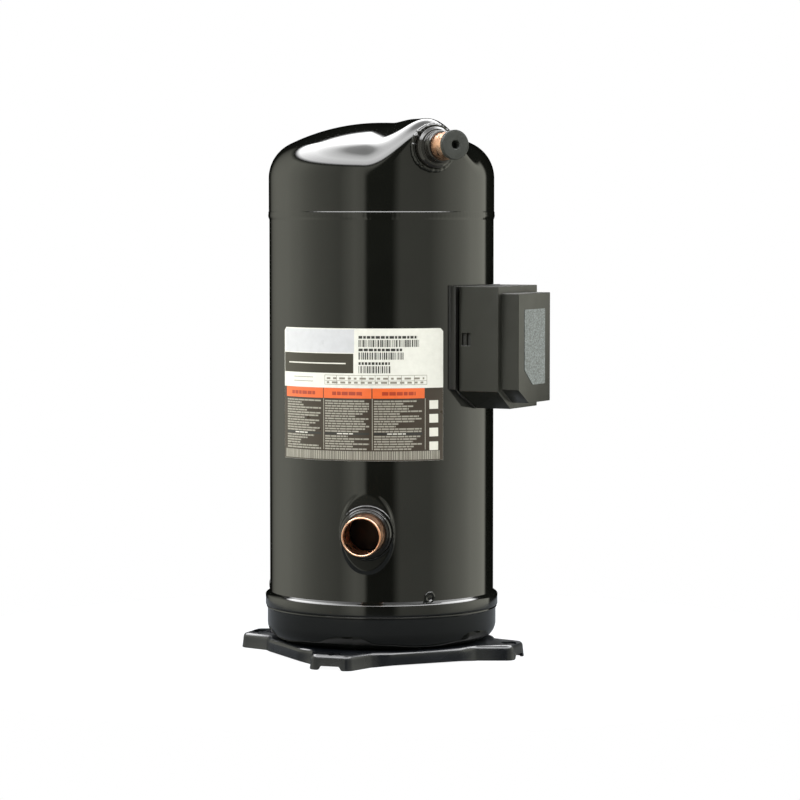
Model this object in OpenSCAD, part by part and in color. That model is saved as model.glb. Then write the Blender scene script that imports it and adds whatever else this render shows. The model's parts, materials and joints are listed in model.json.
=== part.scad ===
// Hermetic scroll compressor: welded shell, motor, scroll set and terminal box.
// Origin: centre of the base at floor level. +Z up, -Y is the front.
// Azimuths are measured from the front (-Y) towards the right side (+X).

/* [Shell] */
// Outside radius of the shell tube
tube_r = 112.25; // [112:0.05:112.5]
// Wall thickness of the shell tube
tube_wall = 3.25; // [3:0.05:3.5]
// Outside radius of the lower cup
cup_r = 114.8; // [114.5:0.05:115]
// Height at which the tube's flared end meets the lower cup
cup_top = 48.5; // [47:0.5:50]
// Height of the tube's upper end, under the muffler plate's rim
tube_top = 436.5; // [436:0.1:437]

/* [Top cap] */
// Outside radius of the top cap's straight wall
cap_r = 112.8; // [112.6:0.05:113]
// Sheet thickness of the top cap
cap_wall = 4; // [3.5:0.1:4.5]
// Height of the middle of the dome
dome_top = 531.5; // [530:0.5:533]
// Radius of the dome's crown
crown_r = 207; // [200:1:215]
// Radius of the knuckle between crown and wall
knuckle_r = 38; // [36:0.5:40]
// Height of the lobe that carries the discharge fitting
lobe_top = 533.5; // [532:0.5:535]
// Edge radius of the lobe
lobe_edge = 14; // [12:0.5:16]
// Half the angle that the lobe spreads over
lobe_half = 35; // [32:1:40]

/* [Connections] */
// Azimuth of the discharge fitting
disch_az = 1.9; // [0:0.1:4]
// Height of the discharge axis at the wall
disch_z = 504.5; // [503:0.5:506]
// Upward tilt of the discharge axis
disch_tilt = 2.7; // [2:0.1:4]
// Azimuth of the suction fitting
suct_az = -32; // [-34:0.2:-30]
// Height of the suction axis
suct_z = 131; // [129:0.5:132]
// Distance of the suction stub's mouth from the shell axis
suct_tip = 154; // [150:0.5:158]

/* [Base] */
// Spacing of the mounting holes along X and Y
hole_pitch = 190.5; // [188:0.5:191]
// Radius of the mounting holes
hole_r = 7.8; // [7.5:0.1:8]
// Height of the base plate's upper face
plate_top = 15; // [14:0.5:16]
// Sheet thickness of the base plate
plate_t = 3.5; // [3:0.1:4]

/* [Terminal box] */
// Azimuth of the terminal box
box_az = 39.2; // [38:0.2:41]
// Half the width of the cover
cover_hw = 47.4; // [47:0.2:48]
// Wall thickness of the moulded parts
box_wall = 2.5; // [2.3:0.1:2.7]

/* [Scroll set] */
// Involute base radius of both wraps
base_circle = 3.5; // [3.45:0.01:3.55]
// Thickness of both wraps
wrap_t = 4.1; // [4:0.05:4.2]
// Flank clearance between the wraps
flank_gap = 0.2; // [0.15:0.05:0.3]
// Height of both wraps
wrap_h = 36; // [34:0.5:36]

/* [Motor] */
// Air gap between rotor and stator
air_gap = 0.6; // [0.5:0.1:0.8]
// Length of the stator and rotor stacks
stack_l = 127; // [120:1:128]
// Number of stator slots
slots = 24; // [18:6:24]

/* [Hidden] */
$fn = 96;

tube_in = tube_r - tube_wall;
fit_r = tube_in - 0.1;
touch = 0.05;
through = 400;
spigot_top = cup_top + 10;
plug_z = 67;
bracket_arms = [0, 120, 240];

// base plate
foot_corner = [136.5, 14];
foot_corner_r = 8;
foot_corner_a = 70.7;
foot_end = foot_corner[0] + foot_corner_r;
side_mid = 108;
side_dip = 101.5;
side_flat = 34;
side_end = 58;

// terminal box, along its own outward axis
flange_hw = 53;
box_back = 106.4;
cover_back = 107.4;
cover_step = 149.3;
cover_face = 167.2;
cover_hh = 60.2;
box_mid_z = 310;
box_inner_end = 124;

// scroll set, crank and bearings
orbit_r = PI * base_circle - wrap_t - flank_gap;
thrust_z = 371.7;
orb_plate_z = 372;
orb_plate_t = 10;
wrap_z = orb_plate_z + orb_plate_t;
fixed_plate_z = wrap_z + wrap_h + 0.4;
wrap_start = 206;
wrap_end = 1140;
wrap_step = 9;
bolt_ring = 100;
bolt_angles = [45, 135, 225, 315];
journal_r = 19;
lower_journal_r = 15;
pin_r = 10.5;
bush_r = 14.5;
hub_in = 17;
run_gap = 0.05;
bush_slide = 0.4;
sleeve_end = 398;
ear_t = 12;

// motor
stack_top = 280;
stack_z = stack_top - stack_l;
bore_r = 56.6;
winding_h = 32;
rotor_r = bore_r - air_gap;
shaft_r = 21;

// helpers ------------------------------------------------------------------

module at_azimuth(a) {
    rotate([0, 0, a - 90]) children();
}

module ring(ro, ri, z0, z1) {
    difference() {
        translate([0, 0, z0]) cylinder(r = ro, h = z1 - z0);
        translate([0, 0, z0 - 1]) cylinder(r = ri, h = z1 - z0 + 2);
    }
}

// a cylinder along the local X axis
module x_cyl(r, x0, x1) {
    translate([x0, 0, 0]) rotate([0, 90, 0]) cylinder(r = r, h = x1 - x0);
}

// turns a profile of [radius, position] about the local X axis
module x_turn(profile) {
    rotate([0, 90, 0]) rotate_extrude() polygon(profile);
}

// extrudes an outline of [y, z] points along the local X axis
module x_prism(outline, x0, x1) {
    translate([x0, 0, 0]) rotate([90, 0, 90]) linear_extrude(height = x1 - x0) polygon(outline);
}

// the discharge fitting's frame: x = 0 on the cap's wall, x outwards
module at_discharge() {
    at_azimuth(disch_az) translate([cap_r, 0, disch_z]) rotate([0, -disch_tilt, 0]) children();
}

// the terminal box's frame: x outwards from the shell axis, z = 0 at its middle
module at_box() {
    at_azimuth(box_az) translate([0, 0, box_mid_z]) children();
}

module at_suction() {
    at_azimuth(suct_az) translate([0, 0, suct_z]) children();
}

function arc(c, r, a0, a1, n) =
    [for (i = [0:n]) let(a = a0 + (a1 - a0) * i / n) [c[0] + r * cos(a), c[1] + r * sin(a)]];

function turned(p, a) = [p[0] * cos(a) - p[1] * sin(a), p[0] * sin(a) + p[1] * cos(a)];

// outline of a box part with one chamfered lower corner on its near side
function box_outline(hw, z0, z1, cw, ch) =
    [[-hw, z0 + ch], [-hw + cw, z0], [hw, z0], [hw, z1], [-hw, z1]];

// base and shell -----------------------------------------------------------

// distance of a side at position s along it: straight in the middle, drawn in beside the feet
function side_x(s) = let(t = max(0, abs(s) - side_flat) / (side_end - side_flat))
    side_dip + (side_mid - side_dip) * (0.5 + 0.5 * cos(180 * t));

// four sides between four rounded feet, moved inwards by inset
function base_outline(inset) = [for (k = [0:3]) each concat(
    [for (i = [-8:8]) let(s = side_end * i / 8) turned([side_x(s) - inset, s], 90 * k)],
    [for (p = arc([foot_corner[0], -foot_corner[1]], foot_corner_r - inset, -foot_corner_a, 0, 4))
        turned(p, 90 * k + 45)],
    [for (p = arc(foot_corner, foot_corner_r - inset, 0, foot_corner_a, 4))
        turned(p, 90 * k + 45)])];

module base_plate() {
    relief_z = 1.5;
    relief_w = 110;
    arch_w = 21;
    arch_h = 4;
    color([0.05, 0.06, 0.07]) difference() {
        linear_extrude(height = plate_top) polygon(base_outline(0));
        translate([0, 0, -1]) linear_extrude(height = plate_top - plate_t + 1)
            polygon(base_outline(plate_t));
        for (k = [0:3]) rotate([0, 0, 90 * k]) {
            translate([side_dip - 20, -relief_w / 2, -1]) cube([60, relief_w, relief_z + 1]);
            rotate([0, 0, 45]) translate([foot_end - 10, -arch_w / 2, -1])
                cube([20, arch_w, arch_h + 1]);
        }
        for (x = [-1, 1], y = [-1, 1])
            translate([x * hole_pitch / 2, y * hole_pitch / 2, plate_top - plate_t - 0.5])
                cylinder(r = hole_r, h = plate_t + 2);
    }
}

module lower_cup() {
    corner = 17;
    wall = 4;
    spigot_r = tube_in - touch;
    c = [cup_r - corner, plate_top + corner];
    color([0.06, 0.07, 0.08]) rotate_extrude() polygon(concat(
        [[0, plate_top + wall], [0, plate_top]],
        arc(c, corner, -90, 0, 10),
        [[cup_r, cup_top], [spigot_r, cup_top], [spigot_r, spigot_top],
            [spigot_r - wall, spigot_top], [spigot_r - wall, cup_top - wall],
            [cup_r - wall, cup_top - wall]],
        arc(c, corner - wall, 0, -90, 10)));
}

module shell_tube() {
    flare_r = 116.75;
    flare_z = cup_top + 11;
    flare_end = cup_top + 14.5;
    pad_hw = 26.5;
    pad_dz = 12.5;
    pad_face = tube_r + 0.2;
    weld_hole = 5.6;
    color([0.09, 0.09, 0.07]) difference() {
        union() {
            rotate_extrude() polygon([[tube_in, cup_top + 0.2], [flare_r - 1.2, cup_top + 0.2],
                [flare_r, cup_top + 1.4], [flare_r, flare_z], [flare_r - 0.7, flare_z + 0.8],
                [tube_r + 0.8, flare_end - 0.6], [tube_r, flare_end], [tube_r, tube_top],
                [tube_in, tube_top]]);
            at_suction() difference() {
                rotate([0, 90, 0]) linear_extrude(height = pad_face) {
                    square([2 * pad_dz, 2 * pad_hw], center = true);
                    for (s = [-1, 1]) translate([s * pad_dz, 0]) circle(r = pad_hw);
                }
                translate([0, 0, -through / 2]) cylinder(r = tube_in + 1, h = through);
            }
        }
        at_suction() x_cyl(20.3, 90, 130);
        at_box() x_cyl(19.1, 90, 130);
        for (a = bracket_arms)
            at_azimuth(a) translate([0, 0, plug_z]) x_cyl(weld_hole, 90, 130);
    }
}

// height of a torispherical dome at radius r, moved inwards by off
function dome_z(r, off) =
    let(c = cap_r - knuckle_r, zc = dome_top - crown_r,
        kz = zc + sqrt(pow(crown_r - knuckle_r, 2) - c * c),
        tangent = c * (crown_r - off) / (crown_r - knuckle_r))
    r > tangent ? kz + sqrt(max(0, pow(knuckle_r - off, 2) - pow(r - c, 2)))
                : zc + sqrt(pow(crown_r - off, 2) - r * r);

// height of the lobe's flat top with its rounded edge
function lobe_z(r, off) =
    lobe_top - lobe_edge
    + sqrt(max(0, pow(lobe_edge - off, 2) - pow(max(0, r - cap_r + lobe_edge), 2)));

// how far the lobe takes over from the dome: fades out sideways and towards the middle
function lobe_share(r, a) = abs(a) < lobe_half
    ? (0.5 + 0.5 * cos(180 * a / lobe_half)) * (0.5 - 0.5 * cos(180 * min(1, r / lobe_fade))) : 0;

function cap_z(r, a, off) =
    let(d = dome_z(r, off)) d + lobe_share(r, a) * (lobe_z(r, off) - d);

// one skin of the cap: a ring on the wall's foot, then rings from the wall to the middle
lobe_fade = 75;
cap_n = 72;
cap_rings = 13;
cap_foot = tube_top + 5;
function cap_skin(off) = let(r0 = cap_r - off) concat(
    [for (i = [0:cap_n - 1]) let(t = 360 * i / cap_n) [r0 * cos(t), r0 * sin(t), cap_foot]],
    [for (j = [0:cap_rings - 1], i = [0:cap_n - 1])
        let(t = 360 * i / cap_n, r = r0 * (1 - pow(j / cap_rings, 2.2)),
            a = (t + 90 - disch_az + 540) % 360 - 180)
        [r * cos(t), r * sin(t), cap_z(r, a, off)]],
    [[0, 0, dome_top - off]]);

module top_cap() {
    outer = cap_skin(0);
    inner = cap_skin(cap_wall);
    m = len(outer);
    tip = m - 1;
    n = cap_n;
    last = cap_rings * n;
    walls = [for (j = [0:cap_rings - 1], i = [0:n - 1])
        let(k = (i + 1) % n, a = j * n + i, b = j * n + k, c = a + n, d = b + n)
        each [[a, c, b], [b, c, d]]];
    fans = [for (i = [0:n - 1]) [last + i, tip, last + (i + 1) % n]];
    skin = concat(walls, fans);
    foot = [for (i = [0:n - 1]) let(k = (i + 1) % n) each [[i, k, m + i], [k, m + k, m + i]]];
    back = [for (f = skin) [m + f[0], m + f[2], m + f[1]]];
    color([0.09, 0.09, 0.07]) difference() {
        polyhedron(points = concat(outer, inner), faces = concat(skin, back, foot), convexity = 4);
        at_discharge() x_cyl(20.1, -30, 30);
    }
}

module shell_weld_beads() {
    mid = tube_top + 2.5;
    half = 4;
    crown = 1.7;
    color([0.1, 0.1, 0.09]) {
        rotate_extrude() polygon(concat(
            [for (i = [-6:6]) let(s = i / 6)
                [tube_r + 0.02 + crown * cos(90 * s) + (s > 0.5 ? 0.56 : 0), mid + half * s]],
            [[cap_r + 0.02, cap_foot], [tube_r + 0.02, cap_foot]]));
        rotate_extrude() polygon([[cup_r, cup_top - 2.6], [cup_r + 1.2, cup_top - 1.2],
            [cup_r + 0.7, cup_top + 0.15], [cup_r, cup_top + 0.15]]);
    }
}

module fitting_welds() {
    color([0.1, 0.1, 0.09]) {
        difference() {
            at_discharge() difference() {
                x_cyl(23.5, -6, 5);
                x_cyl(20.1, -10, 10);
                translate([5, 0, 0]) rotate([0, 90, 0]) ring(30, 21.5, -1.5, 1);
            }
            cylinder(r = cap_r + touch, h = 2 * through);
        }
        at_suction() x_turn([[25.1, 112.5], [27.3, 112.5], [26.4, 114.5], [25.1, 115.5]]);
    }
}

// connections --------------------------------------------------------------

module suction_fitting() {
    color([0.16, 0.15, 0.14]) at_suction() x_turn([[17.5, 99], [20.2, 99], [20.2, 112.5],
        [25, 112.5], [25, 119.5], [23.8, 121.5], [22, 121.5], [22, 126], [19.2, 126],
        [19.2, 108], [17.5, 108]]);
}

module suction_stub() {
    color([0.72, 0.42, 0.25]) at_suction() x_turn([[17.5, 108.1], [19.15, 108.1],
        [19.15, suct_tip - 0.6], [18.7, suct_tip], [17.5, suct_tip]]);
}

module discharge_fitting() {
    color([0.12, 0.12, 0.12]) at_discharge() x_turn([[12.85, -12], [20, -12], [20, 7], [18, 9],
        [15.5, 9], [15.5, 19], [14.7, 20], [12.85, 20]]);
}

stub_bore = 11.15;
stub_end = 40.5;
module discharge_stub() {
    color([0.72, 0.42, 0.25]) at_discharge() x_turn([[stub_bore, -16], [12.8, -16],
        [12.8, 20.2], [13.3, 20.2], [13.3, stub_end], [stub_bore, stub_end]]);
}

module discharge_plug() {
    color([0.16, 0.17, 0.17]) at_discharge() difference() {
        x_turn([[0, stub_end - 14], [10.2, stub_end - 14], [11.07, stub_end - 12],
            [11.07, stub_end + 0.3], [13.7, stub_end + 0.3], [14.35, stub_end + 1],
            [14.35, stub_end + 5], [13.7, stub_end + 5.7], [0, stub_end + 5.7]]);
        x_cyl(4, stub_end - 7, stub_end + 8);
    }
}

// terminal box -------------------------------------------------------------

flange_hh = 60.4;
flange_outline = box_outline(flange_hw, -flange_hh, flange_hh, 33, 20);
opening_outline = [[-38, -46.5], [38, -46.5], [38, 48.5], [-38, 48.5]];

module box_gasket() {
    color([0.05, 0.05, 0.05]) intersection() {
        ring(tube_r + 2, tube_r + touch, box_mid_z - 70, box_mid_z + 70);
        at_box() difference() {
            x_prism(flange_outline, 80, 125);
            x_prism(opening_outline, 79, 126);
        }
    }
}

module terminal_box_base() {
    lip = 0.6;
    hw = cover_hw - box_wall - lip;
    hh = cover_hh - box_wall - lip;
    wall_out = box_outline(hw, -hh, hh, 30, 18);
    wall_in = box_outline(hw - box_wall, box_wall - hh, hh - box_wall, 30, 18);
    tongue = [9, 4, 6];
    color([0.07, 0.07, 0.07]) difference() {
        at_box() {
            difference() {
                x_prism(flange_outline, 90, box_back);
                x_prism(wall_in, 89, 130);
            }
            difference() {
                x_prism(wall_out, 95, box_inner_end);
                x_prism(wall_in, 89, 130);
            }
            for (s = [-1, 1])
                translate([111, s * (cover_hw - box_wall - 4) - tongue[1] / 2, -1.5]) cube(tongue);
        }
        cylinder(r = tube_r + 2 + touch, h = through);
    }
}

module terminal_box_cover() {
    front_hw = 38.7;
    front_z = [-54.1, 53.2];
    deep = box_outline(cover_hw, -cover_hh, cover_hh, 30, 18);
    deep_in = box_outline(cover_hw - box_wall, box_wall - cover_hh, cover_hh - box_wall, 30, 18);
    front = box_outline(front_hw, front_z[0], front_z[1], 25, 13.5);
    front_in = box_outline(front_hw - box_wall, front_z[0] + box_wall, front_z[1] - box_wall, 25, 13.5);
    window = [4, 12, 12];
    color([0.1, 0.1, 0.09]) difference() {
        at_box() difference() {
            union() {
                x_prism(deep, cover_back, cover_step);
                x_prism(front, cover_step, cover_face);
            }
            x_prism(deep_in, cover_back - 1, cover_step - box_wall);
            x_prism(front_in, cover_step - box_wall - 1, cover_face - box_wall);
            for (s = [-1, 1], x = [110.5, 115.7])
                translate([x, s * cover_hw - window[1] / 2, 2.5]) cube(window);
            translate([135.5, 8, -cover_hh - 8]) cylinder(r = 10.5, h = 20);
        }
        cylinder(r = tube_r + 2.6, h = through);
    }
}

module cover_decal() {
    outline = box_outline(25, -36.5, 37.5, 20, 15);
    color([0.62, 0.66, 0.7]) at_box() x_prism(outline, cover_face + 0.02, cover_face + 0.5);
}

module three_posts(offset_r) {
    for (a = [90, 210, 330]) rotate([a, 0, 0]) translate([0, offset_r, 0]) children();
}

module terminal_cup() {
    color([0.45, 0.45, 0.45]) at_box() x_turn([[15, 103], [19, 103], [19, 112.6],
        [22, 112.6], [22, 115.5], [17, 115.5], [17, 107], [15, 107]]);
}

module terminal_glass() {
    color([0.25, 0.4, 0.35]) at_box() difference() {
        x_cyl(16.95, 107.1, 112);
        three_posts(9) x_cyl(1.65, 100, 120);
    }
}

module terminal_pins() {
    color([0.7, 0.7, 0.66]) at_box() three_posts(9) x_cyl(1.6, 96, 126);
}

module terminal_block() {
    color([0.12, 0.12, 0.13]) at_box() difference() {
        union() {
            translate([118, -24, -22]) cube([12, 48, 48]);
            three_posts(9) translate([130, -1.2, 3]) cube([8, 2.4, 12]);
        }
        three_posts(9) x_cyl(1.65, 110, 140);
        three_posts(17) x_cyl(2.1, 120, 140);
    }
}

module terminal_screws() {
    color([0.75, 0.65, 0.35]) at_box() three_posts(17) difference() {
        union() {
            x_cyl(2, 121, 130.1);
            x_cyl(4, 130.1, 133);
        }
        translate([132, -5, -0.5]) cube([2, 10, 1]);
    }
}

module ground_screw() {
    color([0.2, 0.45, 0.25]) difference() {
        at_box() translate([0, -30, -33.5]) {
            x_cyl(3, 107, 116);
            translate([112, 0, 0]) rotate([0, 90, 0]) cylinder(r = 5, h = 3.5, $fn = 6);
        }
        cylinder(r = tube_r + touch, h = through);
    }
}

module nameplate_label() {
    label_az = -37.6;
    label_span = 90;
    label_z = [201, 329.7];
    color([0.85, 0.85, 0.85]) rotate([0, 0, label_az - 90 - label_span / 2])
        rotate_extrude(angle = label_span) translate([tube_r + 0.02, label_z[0]])
            square([0.25, label_z[1] - label_z[0]]);
}

module plug_welds() {
    color([0.1, 0.1, 0.09]) for (a = bracket_arms)
        at_azimuth(a) translate([0, 0, plug_z])
            x_turn([[0, tube_in], [5.5, tube_in], [5.5, tube_r + 0.3], [4, tube_r + 1.2], [0, tube_r + 1.5]]);
}

// discharge side -----------------------------------------------------------

module muffler_plate() {
    color([0.4, 0.4, 0.4]) rotate_extrude() polygon([[11, 441], [60, 441], [66, tube_top],
        [tube_r, tube_top], [tube_r, cap_foot], [68, cap_foot], [62, 446], [11, 446]]);
}

module check_valve_retainer() {
    color([0.55, 0.55, 0.55]) difference() {
        ring(20, 17, 446, 459);
        for (a = [0, 120, 240]) rotate([0, 0, a]) translate([10, -8, 447.5]) cube([15, 16, 7]);
    }
    color([0.55, 0.55, 0.55]) ring(17, 5, 456.5, 459);
}

module check_valve_disc() {
    color([0.6, 0.6, 0.62]) translate([0, 0, 446.3]) cylinder(r = 15, h = 1.7);
}

module at_relief() {
    rotate([0, 0, 120]) translate([86, 0, 0]) children();
}

relief_seat = 444;
relief_top = 458;
module relief_valve_body() {
    color([0.75, 0.6, 0.3]) at_relief() {
        difference() {
            translate([0, 0, cap_foot]) cylinder(r = 10, h = relief_top - cap_foot, $fn = 6);
            translate([0, 0, relief_seat]) cylinder(r = 6, h = 20);
            translate([0, 0, cap_foot - 1]) cylinder(r = 3, h = 20);
        }
        ring(6, 2.5, relief_top - 2, relief_top);
    }
}

module relief_valve_poppet() {
    color([0.7, 0.7, 0.7]) at_relief() {
        translate([0, 0, relief_seat + 0.3]) cylinder(r = 5.5, h = 2);
        translate([0, 0, relief_seat + 2.3]) cylinder(r = 1.8, h = 6);
    }
}

// a coil of round wire as one swept solid
module coil(r, wire_r, z0, z1, turns) {
    sides = 8;
    per_turn = 16;
    n = turns * per_turn;
    pts = [for (i = [0:n], k = [0:sides - 1])
        let(t = 360 * i / per_turn, w = 360 * k / sides, q = r + wire_r * cos(w))
        [q * cos(t), q * sin(t), z0 + (z1 - z0) * i / n + wire_r * sin(w)]];
    skin = [for (i = [0:n - 1], k = [0:sides - 1]) let(j = (k + 1) % sides)
        [i * sides + k, i * sides + j, (i + 1) * sides + j, (i + 1) * sides + k]];
    end0 = [[for (k = [sides - 1:-1:0]) k]];
    end1 = [[for (k = [0:sides - 1]) n * sides + k]];
    polyhedron(points = pts, faces = [for (f = concat(skin, end0, end1)) [for (i = [len(f) - 1:-1:0]) f[i]]],
        convexity = 6);
}

module relief_valve_spring() {
    wire = 0.5;
    color([0.6, 0.6, 0.62]) at_relief()
        coil(4.2, wire, relief_seat + 2.4 + wire, relief_top - 2.1 - wire, 4);
}

module thermal_disc() {
    color([0.5, 0.45, 0.4]) translate([42, 0, 446]) {
        cylinder(r = 9, h = 3);
        cylinder(r = 5, h = 5);
    }
}

seal_in = 32.4;
seal_out = 46.6;
module floating_seal() {
    color([0.5, 0.5, 0.5]) rotate_extrude() polygon([[seal_in, 431.2], [seal_out, 431.2],
        [seal_out, 433], [seal_out - 1.5, 433], [seal_out - 1.5, 435], [seal_out, 435],
        [seal_out, 436.2], [40, 436.2], [40, 438.8], [36, 438.8], [36, 436.2], [seal_in, 436.2]]);
}

module floating_seal_rings() {
    color([0.85, 0.82, 0.75]) ring(seal_out, seal_out - 1.48, 433.05, 434.95);
    color([0.85, 0.82, 0.75]) ring(39.9, 36.1, 438.82, 439.6);
}

// scroll set ---------------------------------------------------------------

// a point of the wrap at roll angle a (degrees), side = -1 inner, 0 middle, 1 outer
function wrap_pt(a, side) =
    let(l = base_circle * a * PI / 180 + side * wrap_t / 2)
    [base_circle * cos(a) + l * sin(a), base_circle * sin(a) - l * cos(a)];

module wrap(z0) {
    outer = [for (a = [wrap_start:wrap_step:wrap_end]) wrap_pt(a, 1)];
    inner = [for (a = [wrap_start:wrap_step:wrap_end]) wrap_pt(a, -1)];
    back = [for (i = [len(inner) - 1:-1:0]) inner[i]];
    translate([0, 0, z0]) linear_extrude(height = wrap_h) polygon(concat(outer, back));
}

module fixed_scroll() {
    top = fixed_plate_z + 12;
    wall_in = 80;
    wall_out = 91;
    color([0.42, 0.42, 0.43]) difference() {
        union() {
            translate([0, 0, fixed_plate_z]) cylinder(r = wall_out, h = top - fixed_plate_z);
            ring(wall_out, wall_in, wrap_z + 0.4, fixed_plate_z + 1);
            ring(32, 22, top - 1, top + 6);
            ring(54, 47, top - 1, top + 6);
            rotate([0, 0, 180]) wrap(wrap_z + 0.4);
            for (a = bolt_angles) rotate([0, 0, a]) {
                translate([bolt_ring, 0, sleeve_end]) cylinder(r = 8.5, h = ear_t);
                translate([85, -8.5, sleeve_end]) cube([bolt_ring - 85, 17, ear_t]);
            }
        }
        for (a = bolt_angles) rotate([0, 0, a])
            translate([bolt_ring, 0, sleeve_end - 1]) cylinder(r = 5.1, h = ear_t + 2);
        translate([0, 0, fixed_plate_z - 1]) cylinder(r = 7, h = 30);
        rotate([0, 0, 20]) translate([75, -20, wrap_z + 6]) cube([30, 40, 24]);
    }
}

module main_bearing_housing() {
    recess_r = 76;
    recess_z = 361;
    key_slot = [11.2, 32];
    color([0.36, 0.36, 0.37]) difference() {
        rotate_extrude() polygon([[21.6, 318], [34, 318], [38, 338], [60, 344], [84, 350],
            [fit_r, 350], [fit_r, thrust_z], [recess_r, thrust_z], [recess_r, recess_z],
            [36, recess_z], [36, 345.5], [21.6, 345.5]]);
        for (s = [-1, 1]) translate([-key_slot[0] / 2, s * 61.5 - key_slot[1] / 2, 355.4])
            cube([key_slot[0], key_slot[1], 20]);
        for (a = bolt_angles) rotate([0, 0, a])
            translate([bolt_ring, 0, 340]) cylinder(r = 5.1, h = 40);
        for (a = [0, 90, 180, 270]) rotate([0, 0, a]) translate([102, -16, 340]) cube([10, 32, 40]);
    }
}

module main_bearing_bush() {
    color([0.7, 0.6, 0.4]) ring(21.55, journal_r + run_gap, 318.5, 345);
}

module scroll_bolts() {
    color([0.3, 0.3, 0.3]) for (a = bolt_angles) rotate([0, 0, a]) translate([bolt_ring, 0, 0]) {
        translate([0, 0, 354]) cylinder(r = 5, h = sleeve_end + ear_t - 354);
        translate([0, 0, sleeve_end + ear_t]) cylinder(r = 8, h = 6.4, $fn = 6);
    }
}

module bolt_sleeves() {
    color([0.5, 0.5, 0.5]) for (a = bolt_angles) rotate([0, 0, a]) translate([bolt_ring, 0, 0])
        ring(7.8, 5.1, thrust_z, sleeve_end);
}

module orbiting_scroll() {
    slot = [29.2, 11.2];
    color([0.46, 0.46, 0.47]) translate([orbit_r, 0, 0]) difference() {
        union() {
            translate([0, 0, orb_plate_z]) cylinder(r = 84, h = orb_plate_t);
            ring(24, hub_in, 349, orb_plate_z + 1);
            wrap(wrap_z - 0.5);
        }
        for (s = [-1, 1]) translate([s * 60 - slot[0] / 2, -slot[1] / 2, orb_plate_z - 1])
            cube([slot[0], slot[1], 6.2]);
    }
}

module orbiting_hub_bush() {
    color([0.7, 0.6, 0.4]) translate([orbit_r, 0, 0]) ring(hub_in - 0.02, bush_r + run_gap, 350, 369);
}

module drive_bush() {
    color([0.55, 0.5, 0.4]) translate([orbit_r, 0, 0]) difference() {
        translate([0, 0, 350]) cylinder(r = bush_r, h = 18);
        for (x = [0, 0.5, 1]) translate([bush_slide * x, 0, 349]) cylinder(r = pin_r + run_gap, h = 20);
    }
}

module oldham_ring() {
    color([0.62, 0.62, 0.6]) ring(68, 51, 364, 370.5);
}

module oldham_keys() {
    key = [14, 10];
    color([0.62, 0.62, 0.6]) {
        for (s = [-1, 1]) translate([s * 60 - key[0] / 2, -key[1] / 2, 370.8])
            cube([key[0], key[1], 5.6]);
        for (s = [-1, 1]) translate([-key[1] / 2, s * 60 - key[0] / 2, 356])
            cube([key[1], key[0], 7.7]);
    }
}

// motor and shaft ----------------------------------------------------------

slot_mouth = 60;
slot_floor = 84;
function slot_outline(inset) = [[slot_mouth + inset, -3.4 + inset], [slot_floor - inset, -5 + inset],
    [slot_floor - inset, 5 - inset], [slot_mouth + inset, 3.4 - inset]];

module stator_core() {
    color([0.35, 0.36, 0.38]) translate([0, 0, stack_z]) linear_extrude(height = stack_l) difference() {
        circle(r = fit_r);
        circle(r = bore_r);
        for (i = [0:slots - 1]) rotate([0, 0, 360 * i / slots]) {
            polygon(slot_outline(0));
            translate([bore_r - 1, -1.3]) square([slot_mouth - bore_r + 2, 2.6]);
        }
        for (a = [0, 90, 180, 270]) rotate([0, 0, a]) translate([103, -25]) square([10, 50]);
    }
}

module stator_windings() {
    inner = slot_mouth + 1;
    outer = slot_floor + 3;
    round_end = 8;
    end_turns = concat(
        arc([outer - round_end, winding_h - round_end], round_end, 0, 90, 4),
        arc([inner + round_end, winding_h - round_end], round_end, 90, 180, 4),
        [[inner, 0.3], [outer, 0.3]]);
    color([0.6, 0.3, 0.15]) {
        translate([0, 0, stack_top]) rotate_extrude() polygon(end_turns);
        translate([0, 0, stack_z]) mirror([0, 0, 1]) rotate_extrude() polygon(end_turns);
        translate([0, 0, stack_z - 1]) linear_extrude(height = stack_l + 2)
            for (i = [0:slots - 1]) rotate([0, 0, 360 * i / slots]) polygon(slot_outline(0.4));
    }
}

module rod(p, q, r) {
    d = q - p;
    l = norm(d);
    translate(p) rotate([0, acos(d[2] / l), atan2(d[1], d[0])]) cylinder(r = r, h = l, $fn = 24);
}

module motor_leads() {
    color([0.75, 0.2, 0.15]) at_azimuth(box_az) for (y = [-8, 0, 8]) {
        path = [[95, y, box_mid_z + 18.7], [95, y, 337], [76, y, 337], [76, y, stack_top + winding_h + 0.1]];
        for (i = [0:2]) rod(path[i], path[i + 1], 1.8);
        for (i = [1:2]) translate(path[i]) sphere(r = 1.8, $fn = 24);
    }
}

module lead_plug() {
    color([0.8, 0.78, 0.7]) at_box() difference() {
        translate([89.5, -16, -15]) cube([12, 32, 33.5]);
        three_posts(9) x_cyl(1.7, 80, 110);
    }
}

module lower_bearing_bracket() {
    arm_w = 22;
    color([0.38, 0.38, 0.38]) {
        difference() {
            union() {
                translate([0, 0, 64.5]) cylinder(r = 28, h = 31.5);
                for (a = bracket_arms) at_azimuth(a) intersection() {
                    translate([0, -arm_w / 2, 82]) cube([120, arm_w, 8]);
                    cylinder(r = fit_r - 4, h = through);
                }
            }
            translate([0, 0, 60]) cylinder(r = 18.55, h = 40);
        }
        for (a = bracket_arms) at_azimuth(a) intersection() {
            ring(fit_r, fit_r - 4, spigot_top + 0.5, 92);
            translate([90, -arm_w / 2, 50]) cube([30, arm_w, 50]);
        }
    }
}

module lower_bearing_bush() {
    color([0.7, 0.6, 0.4]) ring(18.5, lower_journal_r + run_gap, 65, 95);
}

module thrust_washer() {
    color([0.6, 0.6, 0.6]) ring(18.5, 9.5, 62.6, 64.4);
}

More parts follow.
